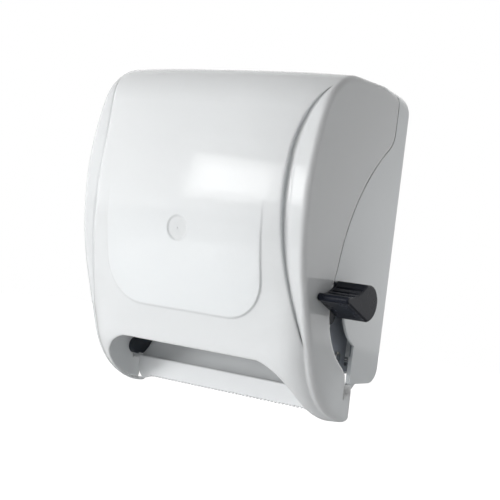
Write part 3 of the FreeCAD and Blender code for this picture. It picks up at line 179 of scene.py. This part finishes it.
def makeFloor():
    bm = bmesh.new()
    bmesh.ops.create_grid(bm, x_segments=1, y_segments=1, size=studio["floorHalf"])
    bmesh.ops.translate(bm, verts=bm.verts, vec=(0, 0, studio["floorLevel"]))
    mesh = bpy.data.meshes.new("studioFloor")
    bm.to_mesh(mesh)
    bm.free()
    floor = bpy.data.objects.new("studioFloor", mesh)
    bpy.context.scene.collection.objects.link(floor)
    floorPaint, tree, shader = newMaterial("whiteStudioFloor")    # matt paint, so no lamp shows in it
    shader.inputs["Base Color"].default_value = linear("E8E8E8")
    shader.inputs["Roughness"].default_value = 0.9
    path = addNode(tree, "ShaderNodeLightPath")
    mirrored = addNode(tree, "ShaderNodeMath", {0: (path, "Is Glossy Ray"), 1: studio["floorMirrored"]},
                       operation="MULTIPLY")
    glow = addNode(tree, "ShaderNodeMath", {0: (path, "Is Camera Ray"), 1: studio["floorSeen"],
                                            2: (mirrored, "Value")}, operation="MULTIPLY_ADD")
    shader.inputs["Emission Color"].default_value = linear("FFFFFF")
    tree.links.new(glow.outputs["Value"], shader.inputs["Emission Strength"])
    mesh.materials.append(floorPaint)


makeWorld()
makeLamps()
makeFloor()
print("studio ready")

plastic = {
    "driftMm": 140,         # size of the slow changes in tone
    "drift": 0.012,         # and how strong they are
    "polishMm": 22,         # size of the better and worse polished patches
    "gapMm": 3,             # how far the painted shade reaches out of a gap
    "gapDark": 0.08,        # share of open sky at which a gap is at its darkest
    "gapClear": 0.5,        # and at which no shade is painted
    # the dark grey painted into seams and steps as shade
    "paintedShadeColour": "1E1F21",
    "glowMm": 8,            # how far light spreads under the surface
    "ior": 1.53,
}


def mouldedPlastic(name, colour, rough, peelMm, peelDepth, gloss=0.5, cornerMm=0.6, gapShade=0.0, glow=0.0):
    # peel is the fine waviness that the mould leaves: its size and depth in mm
    material, tree, shader = newMaterial(name)
    place = objectPlace(tree)
    slow = addNode(tree, "ShaderNodeTexNoise", {"Vector": (place, "Vector"), "Scale": waves(plastic["driftMm"]),
                                                "Detail": 2.0})
    base = linear(colour)
    tone = addNode(tree, "ShaderNodeMix", data_type="RGBA")
    tree.links.new(slow.outputs["Fac"], tone.inputs["Factor"])
    tone.inputs["A"].default_value = tuple(c * (1 - plastic["drift"]) for c in base[:3]) + (1.0,)
    tone.inputs["B"].default_value = tuple(min(c * (1 + plastic["drift"]), 1) for c in base[:3]) + (1.0,)
    if gapShade:    # painted shade: the colour darkens towards a dark grey where ambient occlusion finds seams and steps
        gaps = addNode(tree, "ShaderNodeAmbientOcclusion", {"Distance": plastic["gapMm"] * mm}, samples=8,
                       only_local=False)
        depth = addNode(tree, "ShaderNodeMapRange", {"Value": (gaps, "AO"), "From Min": plastic["gapDark"],
                                                     "From Max": plastic["gapClear"], "To Min": gapShade,
                                                     "To Max": 0.0})
        gapPaintedShade = addNode(tree, "ShaderNodeMix", data_type="RGBA")
        tree.links.new(depth.outputs["Result"], gapPaintedShade.inputs["Factor"])
        tree.links.new(tone.outputs["Result"], gapPaintedShade.inputs["A"])
        gapPaintedShade.inputs["B"].default_value = linear(plastic["paintedShadeColour"])
        tone = gapPaintedShade
    tree.links.new(tone.outputs["Result"], shader.inputs["Base Color"])
    worn = addNode(tree, "ShaderNodeTexNoise", {"Vector": (place, "Vector"), "Scale": waves(plastic["polishMm"]),
                                                "Detail": 4.0})
    polish = addNode(tree, "ShaderNodeMapRange", {"Value": (worn, "Fac"), "To Min": rough * 0.85,
                                                  "To Max": rough * 1.2})
    tree.links.new(polish.outputs["Result"], shader.inputs["Roughness"])
    grain = addNode(tree, "ShaderNodeTexNoise", {"Vector": (place, "Vector"), "Scale": waves(peelMm),
                                                 "Detail": 3.0})
    corner = addNode(tree, "ShaderNodeBevel", {"Radius": cornerMm * mm}, samples=6)    # moulded corner radius
    bump = addNode(tree, "ShaderNodeBump", {"Height": (grain, "Fac"), "Strength": 1.0,
                                            "Distance": peelDepth * mm, "Normal": (corner, "Normal")})
    tree.links.new(bump.outputs["Normal"], shader.inputs["Normal"])
    shader.inputs["IOR"].default_value = plastic["ior"]
    shader.inputs["Subsurface Weight"].default_value = glow
    shader.inputs["Subsurface Radius"].default_value = (1.0, 1.0, 1.0)
    shader.inputs["Subsurface Scale"].default_value = plastic["glowMm"] * mm
    shader.inputs["Specular IOR Level"].default_value = gloss
    return material


def metal(name, colour, rough, lineMm, stretch, depth):
    # lines are the marks of drawing, rolling or plating: their size and depth in mm, stretched along an axis
    material, tree, shader = newMaterial(name)
    place = objectPlace(tree, stretch)
    lines = addNode(tree, "ShaderNodeTexNoise", {"Vector": (place, "Vector"), "Scale": waves(lineMm),
                                                 "Detail": 3.0})
    shader.inputs["Base Color"].default_value = linear(colour)
    shader.inputs["Metallic"].default_value = 1.0
    spread = addNode(tree, "ShaderNodeMapRange", {"Value": (lines, "Fac"), "To Min": rough * 0.8,
                                                  "To Max": rough * 1.25})
    tree.links.new(spread.outputs["Result"], shader.inputs["Roughness"])
    bump = addNode(tree, "ShaderNodeBump", {"Height": (lines, "Fac"), "Strength": 1.0, "Distance": depth * mm})
    tree.links.new(bump.outputs["Normal"], shader.inputs["Normal"])
    return material


# ABS from a polished mould: a clear reflection on bright white, soft round corners, light that soaks in a little,
# and shade painted into its seams and steps
whiteAbs = mouldedPlastic("polishedWhiteAbs", "E9EDEF", 0.065, 2.2, 0.0025, cornerMm=3.8, gapShade=0.95, glow=1.0)
# the same white with the tighter corners of the back half, so that the seam and the slot have crisp edges; shade
# is painted into its seams and steps too
chassisAbs = mouldedPlastic("mouldedChassisAbs", "E9EDEF", 0.075, 2.2, 0.0025, cornerMm=1.0, gapShade=0.95,
                            glow=0.3)
# ABS from a duller mould: a soft broad sheen along the bar
barAbs = mouldedPlastic("polishedBarAbs", "EEF1F3", 0.2, 2.0, 0.004, glow=0.5)
# glass-filled nylon with a fine grain: nearly black blue, a narrow line of light on each rounded edge
leverNylon = mouldedPlastic("grainedLeverNylon", "0C111D", 0.27, 0.9, 0.008, gloss=0.2, cornerMm=2.0)
# nylon with a coarser grain: blue black and matt, its highlights spread out
knobNylon = mouldedPlastic("grainedKnobNylon", "262E37", 0.45, 0.9, 0.02, cornerMm=1.0)
# ABS that the paper slides over: white with a smooth sheen
chuteAbs = mouldedPlastic("polishedChuteAbs", "EEF2F4", 0.22, 2.0, 0.004, glow=0.5)
# ABS with a satin texture: an even blue grey that mirrors nothing
frameAbs = mouldedPlastic("satinFrameAbs", "A3A9B2", 0.35, 1.2, 0.01)
armAbs = mouldedPlastic("satinArmAbs", "B9BEC2", 0.35, 1.2, 0.01)
# acetal: waxy ivory with a dull gloss, as on gears and bushes
acetal = mouldedPlastic("mouldedAcetal", "D9D6CC", 0.38, 1.5, 0.006)
# ABS with a satin texture: dark grey between the black sleeves
rollerAbs = mouldedPlastic("satinRollerAbs", "3B3F45", 0.4, 1.2, 0.01)
# rubber ground to size: matt black with a fine tooth that takes all gloss away
gripRubber = mouldedPlastic("groundRubber", "2A2A2C", 0.75, 0.7, 0.03, gloss=0.35)
# steel drawn through a die: bright, with faint lines along the shaft
drawnSteel = metal("drawnSteel", "B4B7BA", 0.25, 0.8, (0.05, 1, 1), 0.002)
# zinc plated steel: an even silver grey, a little cloudy
zincPlate = metal("zincPlatedSteel", "A3A6A8", 0.35, 0.8, (1, 1, 1), 0.004)
# cold rolled spring steel: darker, with fine lines across the strip
springSteel = metal("springSteel", "8E9194", 0.3, 0.8, (1, 0.2, 0.2), 0.002)
# chrome plated brass: a clean mirror around the key slot
lockChrome = metal("platedLockBrass", "C9CBCD", 0.12, 1.5, (1, 1, 1), 0.001)

finishes = {
    "shell": whiteAbs, "tear_bar": barAbs, "chute": chuteAbs, "lever": leverNylon, "knob": knobNylon,
    "frame": frameAbs, "roll_arm": armAbs, "gear": acetal, "roller": rollerAbs, "rubber": gripRubber,
    "steel": drawnSteel, "zinc": zincPlate, "spring": springSteel, "lock": lockChrome,
}


def paint(item, material):
    item.data.materials.clear()
    item.data.materials.append(material)


for part in frame["record"]["subparts"]:
    paint(nodes[part["node"]], finishes[part["material_slot"]])
paint(nodes["back_chassis"], chassisAbs)
print("finishes on", len(nodes), "nodes")

weldReach = 1e-6


def weldedCopy(nodeName):
    # the node's loose triangles joined at their corners, each keeping its shading
    source = nodes[nodeName].data
    bm = bmesh.new()
    bm.from_mesh(source)
    shading = bm.loops.layers.float_vector.new("shading")
    for face, polygon in zip(bm.faces, source.polygons):
        for loop, index in zip(face.loops, polygon.loop_indices):
            loop[shading] = source.corner_normals[index].vector
    bmesh.ops.remove_doubles(bm, verts=bm.verts, dist=weldReach)
    bm.normal_update()
    return bm


def finishPiece(bm, pieceName, slot, nodeName=None):
    mesh = bpy.data.meshes.new(pieceName)
    bm.to_mesh(mesh)
    bm.free()
    shading = mesh.attributes.get("shading")
    if shading:
        mesh.normals_split_custom_set([tuple(corner.vector) for corner in shading.data])
        mesh.attributes.remove(mesh.attributes["shading"])
    piece = bpy.data.objects.new(pieceName, mesh)
    bpy.context.scene.collection.objects.link(piece)
    paint(piece, finishes[slot])
    if nodeName:
        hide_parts(nodeName)
    return piece


coverSkin = {    # metres where nothing else is said
    "groovesAcross": (0.118, 0.1515),    # the side grooves lie this far from the middle
    "groovesUp": (-0.097, 0.180),
    "frontOf": -0.130,
    "lift": 1.0,            # mm, how much the moulded groove floors swell
    "wallTurn": 40.0,       # degrees between a groove's floor and wall
    "floorFacing": -0.7,    # a groove's floor looks forward at least this much
    "sideFrom": 0.1495,
    "seamReach": 1.15,      # mm, rim corners this near the chassis lie on the side seam
    "seamOpen": 0.6,        # mm, how much the rounded rim opens the seam
}


def makeCoverSkin():
    bm = weldedCopy("front_cover")
    near, far = coverSkin["groovesAcross"]
    low, high = coverSkin["groovesUp"]
    floor = set()
    for edge in bm.edges:
        spot = (edge.verts[0].co + edge.verts[1].co) / 2
        inBand = near < abs(spot.x) < far and low < spot.z < high and spot.y < coverSkin["frontOf"]
        if inBand and not edge.is_convex and edge.calc_face_angle(0) > math.radians(coverSkin["wallTurn"]):
            floor.update(face for face in edge.link_faces if face.normal.y < coverSkin["floorFacing"])
    corners = list({corner for face in floor for corner in face.verts if low < corner.co.z < high})
    bmesh.ops.translate(bm, verts=corners, vec=(0, -coverSkin["lift"] * mm, 0))

    chassis = nodes["back_chassis"].data
    chassisSkin = BVHTree.FromPolygons([tuple(corner.co) for corner in chassis.vertices],
                                       [tuple(face.vertices) for face in chassis.polygons])
    rim = [corner for corner in bm.verts if abs(corner.co.x) > coverSkin["sideFrom"]
           and chassisSkin.find_nearest(corner.co)[3] < coverSkin["seamReach"] * mm]
    bmesh.ops.translate(bm, verts=rim, vec=(0, -coverSkin["seamOpen"] * mm, 0))
    skin = BVHTree.FromBMesh(bm)
    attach(finishPiece(bm, "coverSkin", "shell", "front_cover"), "cover")
    print("cover skin made,", len(corners), "groove corners and", len(rim), "seam corners moved")
    return skin


coverFace = makeCoverSkin()

gateMark = {    # what the cut moulding gate leaves in the round recess
    "across": 0.0,
    "up": 0.0085,
    "lookFrom": -0.4,    # metres in front of the wall
    "radius": 0.9,       # mm
    "rise": 0.25,        # mm
    "narrowing": 0.7,    # share of the radius left at the top
    "softEdge": 0.6,     # share of the rise that is rounded
    "sides": 28,
}


def makeGateMark():
    start = Vector((gateMark["across"], gateMark["lookFrom"], gateMark["up"]))
    spot = coverFace.ray_cast(start, Vector((0, 1, 0)))[0]
    radius, rise = gateMark["radius"] * mm, gateMark["rise"] * mm
    bm = bmesh.new()
    bmesh.ops.create_cone(bm, cap_ends=True, segments=gateMark["sides"], radius1=radius,
                          radius2=radius * gateMark["narrowing"], depth=2 * rise)
    bmesh.ops.rotate(bm, verts=bm.verts, cent=(0, 0, 0), matrix=Matrix.Rotation(math.radians(90), 3, "X"))
    rim = [edge for edge in bm.edges if all(corner.co.y < 0 for corner in edge.verts)]
    bmesh.ops.bevel(bm, geom=rim, offset=rise * gateMark["softEdge"], offset_type="OFFSET", affect="EDGES",
                    segments=2, profile=0.5, material=-1)
    bmesh.ops.translate(bm, verts=bm.verts, vec=spot)
    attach(finishPiece(bm, "gateMark", "shell"), "cover")


makeGateMark()
print("gate mark made")

leafSprings = {    # node, what the tip presses on, where the foot ends, where the tip starts
    "leftArmLeaf": ("left_arm_spring", "left_arm", (-0.134, -0.030, 0.100), (-0.120, -0.058, 0.100)),
    "rightArmLeaf": ("right_arm_spring", "right_arm", (0.134, -0.030, 0.100), (0.120, -0.058, 0.100)),
    "pinchLeaves": ("pinch_springs", "pinch_frame", (0, -0.004, -0.082), (0, -0.023, -0.106)),
}


def makeLeafSprings():
    # each spring node is welded into a new piece with the spring finish, its place baked into the mesh
    for name, (node, pressed, foot, tip) in leafSprings.items():
        leaf = finishPiece(weldedCopy(node), name, "spring", node)
        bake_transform(leaf)


makeLeafSprings()
print("leaf springs made")
